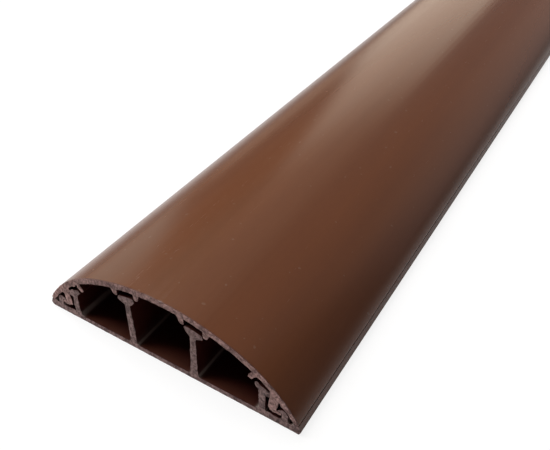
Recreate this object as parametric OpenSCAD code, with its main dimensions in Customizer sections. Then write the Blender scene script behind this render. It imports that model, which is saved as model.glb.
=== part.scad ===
// Snap-together floor trunking for cables: a flat base with upright ribs, and a domed cover
// that clips over it.
// Both pieces are straight extrusions. X runs across the profile, Y along the run and Z up.
// The origin is the middle of the underside.

/* [Overall] */
// Width over the toes of the base
overall_width = 70; // [69:0.5:71]
// Height from the floor to the crown of the cover
overall_height = 19.8; // [19.4:0.1:20.8]
// Length of the run
run_length = 500; // [100:50:2000]

/* [Cover] */
// Wall of the domed skin
cover_wall = 1.45; // [1.25:0.05:1.6]
// Outer radius over the crown
crown_radius = 51; // [48:1:56]
// Angle from the crown at which the tighter shoulder curve takes over
shoulder_angle = 22.5; // [19:0.5:26]
// Thickness of the snap legs
leg_wall = 1.7; // [1.4:0.1:1.8]

/* [Base] */
// Thickness of the floor inside the channels
floor_wall = 1.3; // [1.1:0.1:1.6]
// Distance of each divider from the middle
divider_x = 8.8; // [8:0.1:9.5]
// Thickness of a divider just under its head
divider_wall = 1.4; // [1.2:0.1:1.7]
// Width of a divider's head
divider_head = 4.5; // [4:0.1:5]
// Thickness of the side ribs
side_rib_wall = 1.5; // [1.3:0.1:1.6]

/* [Fit] */
// Gap left between the cover and the base wherever they meet
clearance = 0.12; // [0.1:0.01:0.15]

/* [Hidden] */

pvc_base = [0.36, 0.23, 0.19];
pvc_cover = [0.33, 0.21, 0.16];

// ---- shared curves ----

half_width = overall_width / 2;
ledge_z = 2.35;
ledge_x = half_width - 0.6;

// The dome is a crown arc and a tighter shoulder arc that meet with one tangent.
// The shoulder arc ends just above the ledge of the base.
crown_centre = [0, overall_height - crown_radius];
edge_point = [half_width - 0.45, ledge_z + clearance];
function along(angle) = [sin(angle), cos(angle)];
edge_from_crown = edge_point - crown_centre;
edge_reach = edge_from_crown * along(shoulder_angle);
shoulder_radius = (edge_from_crown * edge_from_crown + crown_radius ^ 2 - 2 * crown_radius * edge_reach)
    / (2 * (crown_radius - edge_reach));
shoulder_centre = crown_centre + (crown_radius - shoulder_radius) * along(shoulder_angle);

// The dome's surface at a depth under its outer face: a point at an angle, and the angle and height at an x
function dome_point(angle, depth) = angle < shoulder_angle
    ? crown_centre + (crown_radius - depth) * along(angle)
    : shoulder_centre + (shoulder_radius - depth) * along(angle);
function dome_angle(x, depth) = x < (crown_radius - depth) * sin(shoulder_angle)
    ? asin(x / (crown_radius - depth))
    : asin((x - shoulder_centre.x) / (shoulder_radius - depth));
function dome_z(x, depth) = dome_point(dome_angle(x, depth), depth).y;

// ---- outlines ----

// The arc that rounds the corner c between the unit directions u and v with radius r
function corner_arc(c, u, v, r) =
    let (
        half = acos(u * v) / 2,
        sweep = 180 - 2 * half,
        steps = ceil(sweep / 20),
        turn = sweep / steps,
        centre = c + (u + v) / norm(u + v) * r / sin(half),
        from = c + u * r / tan(half) - centre,
        to = c + v * r / tan(half) - centre
    )
    [for (i = [0:steps]) centre + (from * sin(sweep - i * turn) + to * sin(i * turn)) / sin(sweep)];

// Points of a closed path whose corners are [x, z, radius]
function rounded(path) = [
    for (i = [0:len(path) - 1])
        let (
            c = [path[i][0], path[i][1]],
            before = path[(i + len(path) - 1) % len(path)],
            after = path[(i + 1) % len(path)],
            back = [before[0], before[1]] - c,
            ahead = [after[0], after[1]] - c
        )
        each path[i][2] == 0 ? [c] : corner_arc(c, back / norm(back), ahead / norm(ahead), path[i][2])
];

// The same path on the other side of the middle plane, in the order that closes the outline
function mirrored(path) = [for (i = [len(path) - 1:-1:0]) [-path[i][0], path[i][1], path[i][2]]];

// Corners along the dome between two angles, with its two ends rounded. The depth can change on the way.
dome_step = 2;
function dome_arc(depth, from, to, r, last_depth = undef) =
    let (
        steps = ceil(abs(to - from) / dome_step),
        change = is_undef(last_depth) ? 0 : last_depth - depth
    )
    [
        for (i = [0:steps])
            let (p = dome_point(from + (to - from) * i / steps, depth + change * i / steps))
            [p.x, p.y, i == 0 || i == steps ? r : 0]
    ];

// A half profile and its mirror image make one closed outline.
module profile(half) polygon(rounded(concat(half, mirrored(half))));

module run() rotate([90, 0, 0]) linear_extrude(run_length, center = true) children();

// ---- base ----

// The thicker rim ends in a pointed toe, with a ledge under the cover's edge.
rim_wall = 1.9;
toe = [
    [half_width - 0.5, 0, 0.2],
    [half_width, 0.85, 0.1],
    [ledge_x, ledge_z, 0.1],
    [ledge_x - 1.2, ledge_z, 0.2],
    [ledge_x - 1.6, rim_wall, 0.2]
];

// Outside the snap leg an upstand carries a nose that points inwards over the leg's barb.
barb_z = 3.05;
barb_top = barb_z + 0.85;
hook_out = half_width - 3.1;
hook_in = half_width - 4.55;
nose_reach = half_width - 5.5;
nose_z = barb_top + clearance;
hook_top = nose_z + 0.85;
hook = [
    [hook_out, rim_wall, 0.3],
    [hook_out, hook_top - 0.9, 0.3],
    [hook_out - 0.6, hook_top, 0.3],
    [nose_reach + 0.8, hook_top, 0.3],
    [nose_reach, nose_z + 0.3, 0.15],
    [nose_reach, nose_z, 0.1],
    [hook_in, nose_z, 0.1],
    [hook_in, rim_wall, 0.3]
];

// The side rib closes the side channel. Its sloping head backs up the snap leg.
side_rib_out = half_width - 8.5;
side_rib_in = side_rib_out - side_rib_wall;
side_head_out = side_rib_out + 0.9;
side_rib = [
    [side_rib_out, rim_wall, 0.3],
    [side_rib_out, 6.9, 0.1],
    [side_head_out, 6.95, 0.2],
    [side_head_out, 8.5, 0.3],
    [side_rib_in - 0.9, 9.95, 0.4],
    [side_rib_in - 1, 9, 0.3],
    [side_rib_in, 7.9, 0.3],
    [side_rib_in, floor_wall, 1]
];

// A divider tapers from its foot to a neck, and ends in a head that lies parallel to the dome.
divider_foot = 1.8;
head_gap = 1.65;
head_wall = 1.15;
neck_in = divider_x - divider_wall / 2;
neck_out = divider_x + divider_wall / 2;
head_in = divider_x + 0.25 - divider_head / 2;
head_out = divider_x + 0.25 + divider_head / 2;
function head_z(x) = dome_z(x, cover_wall + head_gap);
neck_z = head_z(divider_x) - head_wall - 1.3;
divider = [
    [neck_out - 0.1, floor_wall, 0.6],
    [neck_out, neck_z, 0.6],
    [head_out, head_z(head_out) - head_wall, 0.4],
    [head_out, head_z(head_out), 0.5],
    [head_in, head_z(head_in), 0.5],
    [head_in, head_z(head_in) - head_wall, 0.5],
    [neck_in, neck_z, 0.6],
    [neck_out - 0.1 - divider_foot, floor_wall, 0.6]
];

// ---- cover ----

root_round = 0.25;
tip_round = 0.35;
function skin_angle(x) = dome_angle(x, cover_wall);

// The crown ribs stand beside each divider head. Their far faces widen towards the skin.
crown_rib_gap = 0.15;
crown_rib_tip = 1;
crown_rib_root = 1.65;
inner_rib_x = head_in - crown_rib_gap;
outer_rib_x = head_out + crown_rib_gap;
inner_rib_root = inner_rib_x - crown_rib_root;
outer_rib_root = outer_rib_x + crown_rib_root;
inner_rib = [
    [inner_rib_x, head_z(head_in) - 0.1, tip_round],
    [inner_rib_x - crown_rib_tip, head_z(head_in) - 0.1, tip_round]
];
outer_rib = [
    [outer_rib_x + crown_rib_tip, head_z(head_out) - 0.25, tip_round],
    [outer_rib_x, head_z(head_out) - 0.25, tip_round]
];

// The guard rib hangs square to the skin and closes the way over the side rib's head.
guard_wall = 1.2;
guard_depth = cover_wall + 2.2;
guard_angle = skin_angle(half_width - 11.1);
guard_half_angle = asin(guard_wall / 2 / (shoulder_radius - cover_wall));
guard_tip = dome_point(guard_angle, guard_depth);
guard_across = guard_wall / 2 * [cos(guard_angle), -sin(guard_angle)];
guard_rib = [
    [guard_tip.x + guard_across.x, guard_tip.y + guard_across.y, 0.5],
    [guard_tip.x - guard_across.x, guard_tip.y - guard_across.y, 0.5]
];

// The snap leg stands against the side rib's head, and its foot ends in a barb that points outwards.
leg_in = side_head_out + clearance;
leg_out = leg_in + leg_wall;
leg_root_out = leg_out + 0.45;
barb_reach = hook_in - 0.15;
snap_leg = [
    [leg_out, 5, 1],
    [leg_out - 0.1, barb_top, 0.2],
    [barb_reach, barb_top, 0.3],
    [barb_reach, barb_z, 0.3],
    [leg_in + 0.7, barb_z, 0.5],
    [leg_in - 0.2, 3.8, 0.5],
    [leg_in - 0.25, 4.6, 1],
    [leg_in, 6.5, 1]
];

// The skin thins towards its lower edge, which is flat above the ledge.
edge_round = 0.25;
edge_wall = 1;
edge_angle = dome_angle(edge_point.x, 0);
inner_edge_angle = acos((edge_point.y - shoulder_centre.y) / (shoulder_radius - edge_wall));

base_half = concat(toe, hook, side_rib, divider);

cover_half = concat(
    dome_arc(0, dome_step / 2, edge_angle, edge_round),
    dome_arc(edge_wall, inner_edge_angle, skin_angle(leg_root_out), root_round, last_depth = cover_wall),
    snap_leg,
    dome_arc(cover_wall, skin_angle(leg_in), guard_angle + guard_half_angle, root_round),
    guard_rib,
    dome_arc(cover_wall, guard_angle - guard_half_angle, skin_angle(outer_rib_root), root_round),
    outer_rib,
    dome_arc(cover_wall, skin_angle(outer_rib_x), skin_angle(inner_rib_x), root_round),
    inner_rib,
    dome_arc(cover_wall, skin_angle(inner_rib_root), dome_step / 2, root_round)
);

module base_channel() color(pvc_base) run() profile(base_half);
module snap_cover() color(pvc_cover) run() profile(cover_half);

base_channel();
snap_cover();
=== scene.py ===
import math

import bmesh
import bpy
import numpy as np
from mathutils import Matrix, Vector, noise
from mathutils.geometry import delaunay_2d_cdt


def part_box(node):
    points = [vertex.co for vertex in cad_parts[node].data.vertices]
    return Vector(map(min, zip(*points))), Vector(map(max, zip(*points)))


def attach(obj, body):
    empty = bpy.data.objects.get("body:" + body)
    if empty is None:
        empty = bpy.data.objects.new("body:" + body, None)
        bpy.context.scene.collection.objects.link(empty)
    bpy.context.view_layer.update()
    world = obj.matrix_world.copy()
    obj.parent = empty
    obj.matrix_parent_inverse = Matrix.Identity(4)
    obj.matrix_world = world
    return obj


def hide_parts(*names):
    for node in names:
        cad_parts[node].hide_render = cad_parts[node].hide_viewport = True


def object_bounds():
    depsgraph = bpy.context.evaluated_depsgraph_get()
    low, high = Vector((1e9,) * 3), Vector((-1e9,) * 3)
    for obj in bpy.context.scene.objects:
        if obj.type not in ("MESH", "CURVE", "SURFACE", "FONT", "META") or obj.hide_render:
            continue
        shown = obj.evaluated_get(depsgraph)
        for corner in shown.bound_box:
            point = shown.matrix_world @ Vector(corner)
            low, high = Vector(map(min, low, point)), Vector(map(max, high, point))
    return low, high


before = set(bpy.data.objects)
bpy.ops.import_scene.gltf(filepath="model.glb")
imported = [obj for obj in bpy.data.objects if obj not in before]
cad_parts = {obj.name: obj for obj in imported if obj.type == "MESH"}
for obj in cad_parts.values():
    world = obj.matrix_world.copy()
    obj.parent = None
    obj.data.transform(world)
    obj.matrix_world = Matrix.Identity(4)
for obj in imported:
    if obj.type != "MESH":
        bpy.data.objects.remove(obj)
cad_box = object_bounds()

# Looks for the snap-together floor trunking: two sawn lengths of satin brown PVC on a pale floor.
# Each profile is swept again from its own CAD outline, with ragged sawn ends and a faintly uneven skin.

MM = 0.001

# ---- sizes ----

OUTLINE_STEP = 0.45 * MM        # longest edge of a refined outline
CAP_STEP = 0.5 * MM             # spacing of the points inside a sawn face
RING_GAP = 12 * MM              # spacing of the rings along the run
SHARP_ANGLE = 38                # degrees between faces from which an edge stays sharp

BURR = 0.15 * MM                # how far the torn plastic at a cut may stand off the outline
CLIP_BURR = 0.30 * MM           # the same around the clips at both sides
CLIP_X = 24 * MM                # where the clips begin
OUTER_BURR = 0.07 * MM          # the same on the faces that show from outside
BURR_SHARE = 0.25               # most of the gap to the other piece that a burr may take up
CHIP = 0.09 * MM                # how deep the saw may chip an edge
# (mm from the cut, share of burr) of the rings near a cut
RIM_RINGS = [(0.0, 1.0), (0.12, 0.7), (0.3, 0.25), (0.7, 0.0), (3.0, 0.0)]
RIM_SETBACK = 0.07 * MM         # how far the rim of a sawn face lies behind its middle
SAW_DEPTH = 0.05 * MM           # depth of the saw marks
SAW_SLANT = 0.35                # slant of the saw marks, in radians
HIGH_SEED = 40                  # added to a piece's seed at its high end, so that the two cuts differ
FACE_SEED = 1                   # seed of the points inside the sawn faces

SKIN_WAVE = 0.022 * MM          # height of the extrusion's faint waves
UNDERSIDE_Z = 0.5 * MM          # no waves below this height, because the underside is flat
RIB_FOOT = (1.0 * MM, 3.2 * MM)     # heights between which the ribs stand on the channel floor

SKIN, SAWN_FACE, INNER = 0, 1, 2    # material slots of a piece
FOOT_HIGHLIGHT = "foot_highlight"                   # colour layer that marks the painted highlight along the rib feet
FOOT_HIGHLIGHT_REACH = 26 * MM            # how far in from a cut the painted highlight reaches
RIM_BAND_FADE = (0.45 * MM, 0.1 * MM)   # from a cut: where the rim's band of painted shade and wear begins, and where it is full
CHANNEL_REACH = 30 * MM         # how near walls must be to close a surface in
OPEN_FADE = (0.30, 0.54)        # open share of the surroundings over which the colour goes from the painted shade colour to the plain colour


# ---- outlines from the CAD nodes ----

def end_outlines(node):
    """The closed outlines, as (x, z) arrays, of the CAD node's face at its low end."""
    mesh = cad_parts[node].data
    low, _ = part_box(node)
    spots = {}
    index = []
    for vertex in mesh.vertices:
        key = tuple(round(c / (0.001 * MM)) for c in vertex.co)
        index.append(spots.setdefault(key, vertex.index))
    uses = {}
    for face in mesh.polygons:
        if any(abs(mesh.vertices[i].co.y - low.y) > 0.01 * MM for i in face.vertices):
            continue
        ring = [index[i] for i in face.vertices]
        for a, b in zip(ring, ring[1:] + ring[:1]):
            uses.setdefault(frozenset((a, b)), []).append((a, b))
    following = {pair[0][0]: pair[0][1] for pair in uses.values() if len(pair) == 1}
    outlines = []
    while following:
        start = next(iter(following))
        loop = [start]
        here = following.pop(start)
        while here != start:
            loop.append(here)
            here = following.pop(here)
        points = np.array([[mesh.vertices[i].co.x, mesh.vertices[i].co.z] for i in loop])
        outlines.append(points)
    return outlines


def signed_area(points):
    after = np.roll(points, -1, axis=0)
    return 0.5 * np.sum(points[:, 0] * after[:, 1] - after[:, 0] * points[:, 1])


def refined(points):
    """The outline anticlockwise, with its long edges cut into short ones."""
    if signed_area(points) < 0:
        points = points[::-1]
    out = []
    for a, b in zip(points, np.roll(points, -1, axis=0)):
        parts = max(1, math.ceil(np.linalg.norm(b - a) / OUTLINE_STEP))
        out += [a + (b - a) * i / parts for i in range(parts)]
    return np.array(out)


def outward(points):
    """Unit normals that point out of an anticlockwise outline."""
    edge = np.roll(points, -1, axis=0) - points
    edge /= np.linalg.norm(edge, axis=1)[:, None]
    normal = np.stack([edge[:, 1], -edge[:, 0]], 1)
    normal = normal + np.roll(normal, 1, axis=0)
    return normal / np.linalg.norm(normal, axis=1)[:, None]


def room(points, others):
    """Distance from each point to the nearest point of the other outlines."""
    other = np.concatenate(others)
    return np.array([np.min(np.linalg.norm(other - p, axis=1)) for p in points])


def inside(point, loop):
    """True if the point lies inside the closed loop."""
    a, b = loop, np.roll(loop, -1, axis=0)
    crosses = (a[:, 1] > point[1]) != (b[:, 1] > point[1])
    rise = np.where(crosses, b[:, 1] - a[:, 1], 1)
    at = a[:, 0] + (point[1] - a[:, 1]) / rise * (b[:, 0] - a[:, 0])
    return np.count_nonzero(crosses & (point[0] < at)) % 2 == 1


def open_edges(loop, normal, outlines):
    """True for each edge of the loop that faces free air: no other edge stands in front of its middle."""
    start = np.concatenate(outlines)
    finish = np.concatenate([np.roll(o, -1, axis=0) for o in outlines])
    middle = (loop + np.roll(loop, -1, axis=0)) / 2
    look = normal + np.roll(normal, -1, axis=0)
    result = []
    for spot, way in zip(middle + look * 0.01 * MM, look):
        side_a = way[0] * (start[:, 1] - spot[1]) - way[1] * (start[:, 0] - spot[0])
        side_b = way[0] * (finish[:, 1] - spot[1]) - way[1] * (finish[:, 0] - spot[0])
        ahead = ((start + finish) / 2 - spot) @ way > 0
        result.append(not np.any((side_a * side_b < 0) & ahead))
    return result


# ---- swept pieces ----

def wave(x, y, seed):
    """Height of the skin's faint waves, long along the run and short across it."""
    broad = noise.noise(Vector((x * 130, y * 3.5, seed)))
    fine = noise.noise(Vector((x * 420, y * 2.2, seed + 7)))
    return SKIN_WAVE * (broad + 0.35 * fine)


def rim_offset(x, z, most, seed):
    """How far the rim of a cut stands off the outline: torn grains and a few longer tears, or chips."""
    grain = noise.noise(Vector((x * 1700, z * 1700, seed)))
    tear = max(0.0, noise.noise(Vector((x * 600, z * 600, seed + 3))) - 0.1)
    rough = 1.3 * grain + 2.5 * tear
    return min(1.0, rough) * most if rough > 0 else max(-1.0, rough) * CHIP


def saw_relief(x, z, seed):
    """Height of a sawn face: slanted saw marks with a rough grain over them."""
    across = x * math.cos(SAW_SLANT) + z * math.sin(SAW_SLANT)
    marks = noise.noise(Vector((across * 2600, (z - x * 0.3) * 160, seed)))
    grain = noise.noise(Vector((x * 1900, z * 1900, seed + 5)))
    return SAW_DEPTH * (0.7 * marks + 0.8 * grain)


def corner_share(point, normal):
    """1 in the rounded corners where a rib stands on the channel floor, 0 elsewhere."""
    low = RIB_FOOT[0] < point[1] < RIB_FOOT[1]
    slanted = min(1.0, 2.2 * min(abs(normal[0]), max(0.0, normal[1])))
    return slanted if low else 0.0


def stations(length):
    """(distance from the low end, share of burr) for every ring of a run."""
    rim = [(d * MM, share) for d, share in RIM_RINGS]
    start = rim[-1][0]
    count = math.ceil((length - 2 * start) / RING_GAP)
    middle = [(start + (length - 2 * start) * i / count, 0.0) for i in range(1, count)]
    return rim + middle + [(length - d, share) for d, share in reversed(rim)]


def cap_triangles(loop, seed):
    """Points inside the loop, and triangles over the loop and those points."""
    low, high = loop.min(0), loop.max(0)
    spots = []
    row = 0
    z = low[1] + CAP_STEP / 2
    while z < high[1]:
        x = low[0] + (CAP_STEP / 2 if row % 2 else 0)
        while x < high[0]:
            jitter = noise.noise_vector(Vector((x * 900, z * 900, seed))) * CAP_STEP * 0.25
            spot = np.array([x + jitter.x, z + jitter.y])
            if inside(spot, loop) and np.min(np.linalg.norm(loop - spot, axis=1)) > CAP_STEP * 0.4:
                spots.append(spot)
            x += CAP_STEP
        z += CAP_STEP * 0.87
        row += 1
    every = [Vector(p) for p in list(loop) + spots]
    edges = [(i, (i + 1) % len(loop)) for i in range(len(loop))]
    made = delaunay_2d_cdt(every, edges, [], 1, 1e-9)
    if len(made[0]) != len(every):
        raise RuntimeError("the sawn face was not divided cleanly")
    origin = [ids[0] for ids in made[3]]
    return spots, [[origin[i] for i in face] for face in made[2]]


def burr_reach(loop, skin, others):
    """How far a burr may stand off the outline at each point."""
    reach = np.where(abs(loop[:, 0]) > CLIP_X, CLIP_BURR, BURR)
    reach = np.minimum(reach, BURR_SHARE * room(loop, others))
    return np.where(skin, np.minimum(reach, OUTER_BURR), reach)


def skin_lift(x, y, z, seed):
    return wave(x, y, seed) if z > UNDERSIDE_Z else 0.0


def add_ring(mesh, loop, normal, reach, y, share, seed, burr_seed):
    """One ring of the run: the outline at y, with this share of its burr and with the skin's waves."""
    ring = []
    for (x, z), n, most in zip(loop, normal, reach):
        burr = share * rim_offset(x, z, most, burr_seed) if share else 0.0
        ring.append(mesh.verts.new((x + n[0] * burr, y, z + n[1] * burr + skin_lift(x, y, z, seed))))
    return ring


def add_walls(mesh, foot_highlight, near, far, loop, normal, skin):
    """The faces between two rings, with the painted highlight marked in the rib corners."""
    for i in range(len(loop)):
        j = (i + 1) % len(loop)
        face = mesh.faces.new((near[i], near[j], far[j], far[i]))
        face.material_index = SKIN if skin[i] else INNER
        if skin[i]:
            continue
        for corner, k in zip(face.loops, (i, j, j, i)):
            amount = corner_share(loop[k], normal[k])
            corner[foot_highlight] = (amount, amount, amount, 1.0)


def add_cap(mesh, ring, spots, triangles, y, sign, seed):
    """The sawn face on a ring. The sign is 1 at the low end and -1 at the high end."""
    verts = list(ring)
    for x, z in spots:
        depth = abs(saw_relief(x, z, seed + 11)) * sign
        verts.append(mesh.verts.new((x, y + depth, z + skin_lift(x, y, z, seed))))
    for triangle in triangles:
        face = mesh.faces.new([verts[i] for i in triangle])
        face.material_index = SAWN_FACE


def sweep(name, node, others, seed):
    """A new mesh object with the CAD node's outline, swept along its length."""
    low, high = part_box(node)
    loop = refined(end_outlines(node)[0])
    normal = outward(loop)
    skin = open_edges(loop, normal, [loop] + others)
    reach = burr_reach(loop, skin, others)
    mesh = bmesh.new()
    foot_highlight = mesh.loops.layers.float_color.new(FOOT_HIGHLIGHT)
    rings = stations(high.y - low.y)
    last = len(rings) - 1
    setback = {0: RIM_SETBACK, last: -RIM_SETBACK}
    grid = []
    for k, (along, share) in enumerate(rings):
        y = low.y + along + setback.get(k, 0.0)
        burr_seed = seed if k <= last / 2 else seed + HIGH_SEED
        grid.append(add_ring(mesh, loop, normal, reach, y, share, seed, burr_seed))
    for near, far in zip(grid, grid[1:]):
        add_walls(mesh, foot_highlight, near, far, loop, normal, skin)
    spots, triangles = cap_triangles(loop, seed)
    add_cap(mesh, grid[0], spots, triangles, low.y, 1, seed)
    add_cap(mesh, grid[-1], spots, triangles, high.y, -1, seed)
    bmesh.ops.recalc_face_normals(mesh, faces=mesh.faces)
    for face in mesh.faces:
        face.smooth = True
    data = bpy.data.meshes.new(name)
    mesh.to_mesh(data)
    mesh.free()
    data.set_sharp_from_angle(angle=math.radians(SHARP_ANGLE))
    obj = bpy.data.objects.new(name, data)
    bpy.context.scene.collection.objects.link(obj)
    return obj


# ---- materials ----
# A noise scale is given for each axis, in features per metre.

class Tree:
    """Short calls for filling a node tree."""

    def __init__(self, tree, place):
        self.tree = tree
        self.place = self.add("ShaderNodeTexCoord").outputs[place]

    def add(self, kind, **settings):
        node = self.tree.nodes.new(kind)
        for key, value in settings.items():
            setattr(node, key, value)
        return node

    def plug(self, sockets, values):
        """Set or link inputs."""
        for socket, value in zip(sockets, values):
            if isinstance(value, bpy.types.NodeSocket):
                self.tree.links.new(value, socket)
            else:
                socket.default_value = value

    def feed(self, node, **values):
        """Set or link inputs, named with _ for a space, and return the first output."""
        self.plug([node.inputs[key.replace("_", " ")] for key in values], values.values())
        return node.outputs[0]

    def across_and_along(self):
        """The x and y of the point being shaded."""
        node = self.add("ShaderNodeSeparateXYZ")
        self.feed(node, Vector=self.place)
        return node.outputs[0], node.outputs[1]

    def grey(self, value):
        """A grey colour with this brightness."""
        return self.feed(self.add("ShaderNodeCombineColor"), Red=value, Green=value, Blue=value)

    def noise(self, scale, detail=3.0, rough=0.5, distortion=0.0):
        """Noise from about 0.2 to 0.8, scaled along each axis of the object."""
        spot = self.feed(self.add("ShaderNodeMapping"), Vector=self.place, Scale=scale)
        node = self.add("ShaderNodeTexNoise")
        self.feed(node, Detail=detail, Roughness=rough, Distortion=distortion)
        return self.feed(node, Vector=spot, Scale=1.0)

    def ramp(self, value, low, high, out_low=0.0, out_high=1.0, smooth=False):
        node = self.add("ShaderNodeMapRange", interpolation_type="SMOOTHSTEP" if smooth else "LINEAR")
        return self.feed(node, Value=value, From_Min=low, From_Max=high, To_Min=out_low, To_Max=out_high)

    def math(self, operation, *values):
        node = self.add("ShaderNodeMath", operation=operation)
        self.plug(node.inputs, values)
        return node.outputs[0]

    def mix(self, share, a, b):
        """Colour a, going over to colour b as the share goes from 0 to 1."""
        node = self.add("ShaderNodeMix", data_type="RGBA")
        self.plug((node.inputs["Factor"], node.inputs[6], node.inputs[7]), (share, a, b))
        return node.outputs[2]

    def bump(self, height, distance, strength, under=None):
        node = self.add("ShaderNodeBump")
        if under is not None:
            self.feed(node, Normal=under)
        return self.feed(node, Height=height, Distance=distance, Strength=strength)


def new_material(name):
    material = bpy.data.materials.new(name)
    material.use_nodes = True
    tree = Tree(material.node_tree, "Object")
    return material, tree, material.node_tree.nodes["Principled BSDF"]


def shade(colour, factor):
    return [min(1.0, c * factor) for c in colour[:3]] + [1.0]


def extruded_pvc(name, colour, warm, roughness, shade_paint=None):
    """Satin plastic: lengthwise extrusion lines, faint clouding, fine scuffs, and at the cuts a rougher
    rim with a dark band of painted shade.

    With a colour for painted shade, the plastic is painted darker where it is closed in, and a painted
    highlight lies along the rib corners near a cut.
    """
    material, n, shader = new_material(name)
    lines = n.noise((1300, 5, 1300), 4.0, 0.6)
    bands = n.noise((170, 1.6, 170), 2.0)
    cloud = n.noise((65, 16, 65), 4.0, 0.55)
    grain = n.noise((900, 500, 900), 4.0, 0.65)
    scuff = n.noise((2600, 240, 2600), 3.0, 0.65, 0.4)
    speck = n.ramp(n.noise((700, 700, 700), 1.0, 0.3), 0.765, 0.79)

    base = n.mix(n.ramp(bands, 0.3, 0.7), colour, warm)
    base = n.mix(n.ramp(cloud, 0.35, 0.75, 0.0, 0.4), base, shade(colour, 0.78))
    base = n.mix(n.ramp(grain, 0.35, 0.75, 0.0, 0.12), base, shade(warm, 1.3))
    base = n.mix(n.ramp(lines, 0.3, 0.8, 0.0, 0.04), base, shade(warm, 1.6))
    base = n.mix(n.math("MULTIPLY", speck, 0.16), base, SPECK)

    _, y = n.across_and_along()
    from_cut = n.math("SUBTRACT", cad_box[1].y, n.math("ABSOLUTE", y))
    # painted shade: a dark band along the cut edges stands for the shading of the burred rim; the same
    # band is also rougher, as wear
    rim_shade_and_wear = n.math("MULTIPLY", n.ramp(from_cut, *RIM_BAND_FADE), n.ramp(scuff, 0.3, 0.5, 0.5, 1.0))
    base = n.mix(n.math("MULTIPLY", rim_shade_and_wear, 0.75), base, RIM_SHADE_BROWN)

    rough = n.ramp(bands, 0.25, 0.75, roughness - 0.03, roughness + 0.03)
    rough = n.math("ADD", rough, n.ramp(lines, 0.2, 0.8, -0.01, 0.02))
    rough = n.math("ADD", rough, n.ramp(scuff, 0.45, 0.75, 0.0, 0.06))
    rough = n.math("ADD", rough, n.math("MULTIPLY", rim_shade_and_wear, 0.2))
    if shade_paint:
        # painted shade: where walls close the surface in, the colour goes over to a darker brown
        closeness = n.add("ShaderNodeAmbientOcclusion", samples=8)
        n.feed(closeness, Distance=CHANNEL_REACH)
        open_share = n.ramp(closeness.outputs["AO"], *OPEN_FADE, smooth=True)
        base = n.mix(open_share, shade_paint, base)
        # painted highlight: a pale streak along the rib feet near a cut, where their fillets would mirror
        # the light; it is also made rougher
        foot_highlight_share = n.add("ShaderNodeVertexColor", layer_name=FOOT_HIGHLIGHT).outputs["Color"]
        foot_highlight_share = n.math("MULTIPLY", foot_highlight_share, n.ramp(from_cut, FOOT_HIGHLIGHT_REACH, 0.0, 0.0, 0.95))
        foot_highlight_share = n.math("MULTIPLY", foot_highlight_share, n.ramp(cloud, 0.25, 0.6, 0.4, 1.0))
        base = n.mix(foot_highlight_share, base, FOOT_HIGHLIGHT_GREY)
        rough = n.math("ADD", rough, n.math("MULTIPLY", foot_highlight_share, 0.5))
    relief = n.bump(lines, 0.003 * MM, 0.3)
    relief = n.bump(scuff, 0.002 * MM, 0.3, relief)
    n.feed(shader, Base_Color=base, Roughness=rough, IOR=1.5, Normal=relief)
    return material


def sawn_pvc(name, dark, pale):
    """The rough matt face that a saw leaves, paler than the skin, with slanted marks and torn grains."""
    material, n, shader = new_material(name)
    marks = n.noise((1500, 1, 420), 3.0, 0.6, 0.3)
    grain = n.noise((1250, 1250, 1250), 4.0, 0.7)
    # painted shade: small dark spots that stand for the shade inside pits of the sawn face
    pit_shade = n.ramp(n.noise((850, 850, 850), 2.0, 0.6), 0.40, 0.30)
    share = n.math("ADD", n.math("MULTIPLY", grain, 0.7), n.math("MULTIPLY", marks, 0.3))
    base = n.mix(n.ramp(share, 0.42, 0.60), dark, pale)
    base = n.mix(n.math("MULTIPLY", pit_shade, 0.7), base, shade(dark, 0.45))
    relief = n.bump(marks, 0.06 * MM, 0.7)
    relief = n.bump(grain, 0.12 * MM, 0.8, relief)
    n.feed(shader, Base_Color=base, Roughness=n.ramp(grain, 0.3, 0.7, 0.6, 0.9), IOR=1.5, Normal=relief)
    return material


# colours as linear red, green, blue and alpha
BROWN = (0.122, 0.042, 0.0175, 1)
WARM_BROWN = (0.138, 0.046, 0.0165, 1)
BASE_BROWN = (0.105, 0.037, 0.019, 1)
BASE_WARM = (0.115, 0.039, 0.018, 1)
# inner faces: the same PVC painted darker than the skin, as painted shade
SHADED_INNER_BROWN = (0.082, 0.026, 0.014, 1)
SHADED_INNER_WARM = (0.090, 0.028, 0.014, 1)
# painted shade: the colour of closed-in channels
SHADE_PAINT_BROWN = (0.038, 0.0046, 0.0038, 1)
SPECK = (0.3, 0.22, 0.17, 1)
# colour of the painted highlight along the rib feet
FOOT_HIGHLIGHT_GREY = (0.42, 0.34, 0.30, 1)
# painted shade of the burred rim along the cuts
RIM_SHADE_BROWN = (0.055, 0.018, 0.018, 1)
BASE_SAWN = (0.115, 0.060, 0.056, 1)
BASE_SAWN_PALE = (0.47, 0.31, 0.29, 1)
COVER_SAWN = (0.165, 0.078, 0.070, 1)
COVER_SAWN_PALE = (0.66, 0.41, 0.37, 1)
# roughness of the surfaces
BASE_ROUGH = 0.28
COVER_ROUGH = 0.20
INNER_ROUGH = 0.30


# ---- the two pieces ----

NODES = ("base_channel", "snap_cover")
BASE_SEED = 2.0
COVER_SEED = 5.0


def add_piece(name, node, others, seed, body, looks):
    """Sweep one piece, give it its skin, sawn and inner materials, and let it stand for its CAD node."""
    piece = sweep(name, node, others, seed)
    for material in looks:
        piece.data.materials.append(material)
    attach(piece, body)
    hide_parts(node)


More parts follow.
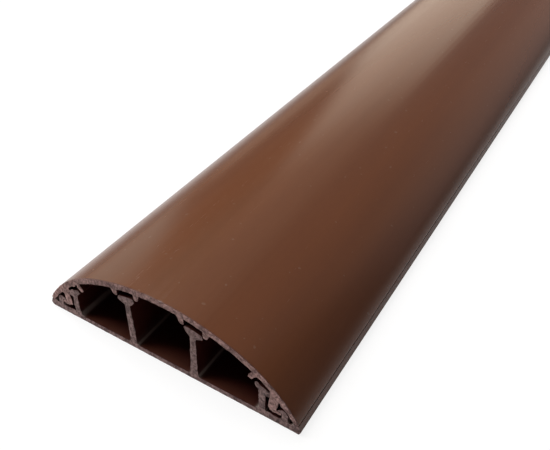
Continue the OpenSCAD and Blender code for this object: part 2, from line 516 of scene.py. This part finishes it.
def build_pieces():
    base_outline, cover_outline = [[refined(o) for o in end_outlines(node)] for node in NODES]
    base_sawn = sawn_pvc("base_sawn", BASE_SAWN, BASE_SAWN_PALE)
    cover_sawn = sawn_pvc("cover_sawn", COVER_SAWN, COVER_SAWN_PALE)
    # the inner faces get a darker copy of the PVC: painted shade
    inner = extruded_pvc("inner_pvc_shaded", SHADED_INNER_BROWN, SHADED_INNER_WARM, INNER_ROUGH, shade_paint=SHADE_PAINT_BROWN)
    base_skin = extruded_pvc("base_pvc", BASE_BROWN, BASE_WARM, BASE_ROUGH)
    cover_skin = extruded_pvc("cover_pvc", BROWN, WARM_BROWN, COVER_ROUGH)
    base_looks = (base_skin, base_sawn, inner)
    cover_looks = (cover_skin, cover_sawn, inner)
    add_piece("trunking_base", NODES[0], cover_outline, BASE_SEED, "base", base_looks)
    add_piece("trunking_cover", NODES[1], base_outline, COVER_SEED, "cover", cover_looks)


# ---- floor ----

FLOOR_NEAR = 0.76       # how pale the floor beside the trunking is in what the plastic mirrors
FLOOR_FAR = 0.15        # the same where the studio light ends
FLOOR_FADE = 0.075      # how far out the one has gone over to the other, in metres
FLOOR_RIGHT = 0.4       # how much of that is left on the side away from the lamp
FLOOR_GLOW = 0.84       # share of even white that the camera sees in the floor
GLOW_FADE = (0.2, 1.5)  # between these distances that share grows to the whole, in metres
UNDER_GLOW = 0.6        # light under the trunking, so that its underside shows from below
UNDER_INSET = 4 * MM    # how far inside the trunking's footprint that light ends
FLOOR_REACH = 60.0      # from the middle of the floor to its edge, in metres
FLOOR_DROP = 0.2 * MM   # the floor lies this far under the trunking


def inside_span(n, value, limit):
    """1 where the value lies between the limit on both sides of zero, 0 elsewhere."""
    return n.math("LESS_THAN", n.math("ABSOLUTE", value), limit)


def past(n, value, limit):
    """How far the value lies beyond the limit on either side of zero."""
    return n.math("MAXIMUM", n.math("SUBTRACT", n.math("ABSOLUTE", value), limit), 0.0)


def floor_material():
    """Pale floor: white to the camera, dimmer far off in what the plastic mirrors, clear from below.

    Right under the trunking it glows, so that the underside can be seen.
    """
    material, n, shader = new_material("pale_floor")
    x, y = n.across_and_along()
    half_width, half_length = cad_box[1].x, cad_box[1].y
    beyond = past(n, y, half_length)
    beside = past(n, x, half_width)
    square = n.math("ADD", n.math("MULTIPLY", beyond, beyond), n.math("MULTIPLY", beside, beside))
    away = n.math("SQRT", square)
    pale = n.ramp(away, 0.0, FLOOR_FADE, FLOOR_NEAR, FLOOR_FAR, smooth=True)
    right = n.ramp(x, half_width, 2 * half_width, 1.0, FLOOR_RIGHT, smooth=True)
    pale = n.math("MULTIPLY", pale, right)
    seen = n.add("ShaderNodeLightPath").outputs["Is Camera Ray"]
    pale = n.mix(seen, n.grey(pale), n.grey(1 - FLOOR_GLOW))
    grain = n.noise((45, 45, 45))
    pale = n.mix(n.ramp(grain, 0.3, 0.7, 0.0, 0.05), pale, n.grey(0.5))
    glow = n.math("MULTIPLY", seen, n.ramp(away, *GLOW_FADE, FLOOR_GLOW, 1.0, smooth=True))
    under = n.math("MULTIPLY", inside_span(n, x, half_width - UNDER_INSET),
                   inside_span(n, y, half_length - UNDER_INSET))
    glow = n.math("MAXIMUM", glow, n.math("MULTIPLY", under, UNDER_GLOW))
    n.feed(shader, Base_Color=pale, Roughness=0.95, Emission_Color=(1, 1, 1, 1), Emission_Strength=glow)

    below = n.add("ShaderNodeNewGeometry").outputs["Backfacing"]
    clear = n.add("ShaderNodeBsdfTransparent").outputs[0]
    either = n.add("ShaderNodeMixShader")
    n.plug(either.inputs, (below, shader.outputs[0], clear))
    n.plug([material.node_tree.nodes["Material Output"].inputs["Surface"]], [either.outputs[0]])
    return material


def build_floor():
    mesh = bmesh.new()
    bmesh.ops.create_grid(mesh, x_segments=1, y_segments=1, size=FLOOR_REACH)
    data = bpy.data.meshes.new("floor")
    mesh.to_mesh(data)
    mesh.free()
    floor = bpy.data.objects.new("floor", data)
    floor.location = (0, 0, cad_box[0].z - FLOOR_DROP)
    data.materials.append(floor_material())
    bpy.context.scene.collection.objects.link(floor)


# ---- light ----

# azimuth 0 is along +Y and 90 along +X, and elevation is the height above the floor, in degrees
near_end = Vector((0, cad_box[0].y, 0))
ROOM_GLOW = (0.10, 0.09, 0.09)      # dim light from every side
# pale panels of the studio, seen mirrored in the dome
# (colour, azimuth from, to, elevation from, to, soft edge in azimuth, soft edge in elevation)
PANELS = (
    ((0.18, 0.14, 0.14), -6.5, 44, -5, 62, 4, 10),
    ((0.34, 0.19, 0.13), 8, 38, 4, 26, 12, 14),
    ((1.28, 1.10, 0.90), -32, -6.5, -4, 30, 4, 12),
    ((0.72, 0.54, 0.40), -48, -32, -9, 5, 4, 8),
    ((0.66, 0.67, 0.58), -80, -52.5, -4, 29, 3, 12),
    ((0.45, 0.34, 0.28), -36, -8, 34, 62, 8, 8),
    ((0.20, 0.26, 0.20), -60, -36, 32, 60, 8, 10),
    ((1.25, 1.15, 1.05), -200, 200, 74, 100, 4, 10),
)
KEY_AZIMUTH = -97
KEY_ELEVATION = 55
KEY_DISTANCE = 1.6      # metres, from the point that the lamp looks at
KEY_SIDE = 1.1          # metres
KEY_RADIANCE = 7.9
KEY_AIM = Vector((0, 0.15, 0))      # that point, from the near end


def direction(azimuth, elevation):
    """The unit vector towards this azimuth and elevation."""
    a, e = math.radians(azimuth), math.radians(elevation)
    return Vector((math.sin(a) * math.cos(e), math.cos(a) * math.cos(e), math.sin(e)))


def stand(name, data, place, back):
    """A lamp or camera at this place, with its back turned this way."""
    obj = bpy.data.objects.new(name, data)
    obj.location = place
    obj.rotation_mode = "QUATERNION"
    obj.rotation_quaternion = back.to_track_quat("Z", "Y")
    bpy.context.scene.collection.objects.link(obj)
    return obj


def soft_step(n, value, edge, soft):
    """Rises softly from 0 to 1 as the value passes the edge, or falls from 1 to 0 if soft is negative."""
    return n.ramp(value, edge - soft / 2, edge + soft / 2, smooth=True)


def build_world():
    """A dim room with a few soft pale panels, made of ramps over the direction."""
    world = bpy.data.worlds.new("studio")
    world.use_nodes = True
    n = Tree(world.node_tree, "Generated")
    parts = n.add("ShaderNodeSeparateXYZ")
    n.feed(parts, Vector=n.place)
    x, y, z = parts.outputs
    azimuth = n.math("MULTIPLY", n.math("ARCTAN2", x, y), math.degrees(1))
    elevation = n.math("MULTIPLY", n.math("ARCSINE", z), math.degrees(1))
    totals = list(ROOM_GLOW)
    for colour, a_from, a_to, e_from, e_to, a_soft, e_soft in PANELS:
        share = soft_step(n, azimuth, a_from, a_soft)
        share = n.math("MULTIPLY", share, soft_step(n, azimuth, a_to, -a_soft))
        share = n.math("MULTIPLY", share, soft_step(n, elevation, e_from, e_soft))
        share = n.math("MULTIPLY", share, soft_step(n, elevation, e_to, -e_soft))
        for i, part in enumerate(colour):
            totals[i] = n.math("ADD", totals[i], n.math("MULTIPLY", share, part))
    seen = n.add("ShaderNodeLightPath").outputs["Is Camera Ray"]
    red, green, blue = [n.math("MAXIMUM", total, seen) for total in totals]
    mixed = n.feed(n.add("ShaderNodeCombineColor"), Red=red, Green=green, Blue=blue)
    n.feed(world.node_tree.nodes["Background"], Color=mixed, Strength=1.0)
    bpy.context.scene.world = world


def build_key():
    """A square soft lamp, high on the left."""
    lamp = bpy.data.lights.new("key", "AREA")
    lamp.shape = "SQUARE"
    lamp.size = KEY_SIDE
    lamp.energy = KEY_RADIANCE * math.pi * KEY_SIDE ** 2
    back = direction(KEY_AZIMUTH, KEY_ELEVATION)
    stand("key", lamp, near_end + KEY_AIM + back * KEY_DISTANCE, back)


# ---- camera ----

EYE = Vector((67.8, -70.7, 115.7)) * MM     # from the middle of the near end, at floor height
BACK_AZIMUTH = 147.58                       # the camera's back points this way
BACK_ELEVATION = 38.40
LENS = 42.82
SENSOR = 36.0
SIDE_SHIFT = 0.0455


def build_camera():
    camera = bpy.data.cameras.new("camera")
    camera.sensor_width = SENSOR
    camera.lens = LENS
    camera.shift_x = SIDE_SHIFT
    camera.clip_start = 0.005
    camera.clip_end = 50
    back = direction(BACK_AZIMUTH, BACK_ELEVATION)
    bpy.context.scene.camera = stand("camera", camera, near_end + EYE, back)


noise.seed_set(FACE_SEED)
build_pieces()
build_floor()
build_world()
build_key()
build_camera()
bpy.context.scene.view_settings.view_transform = "Standard"
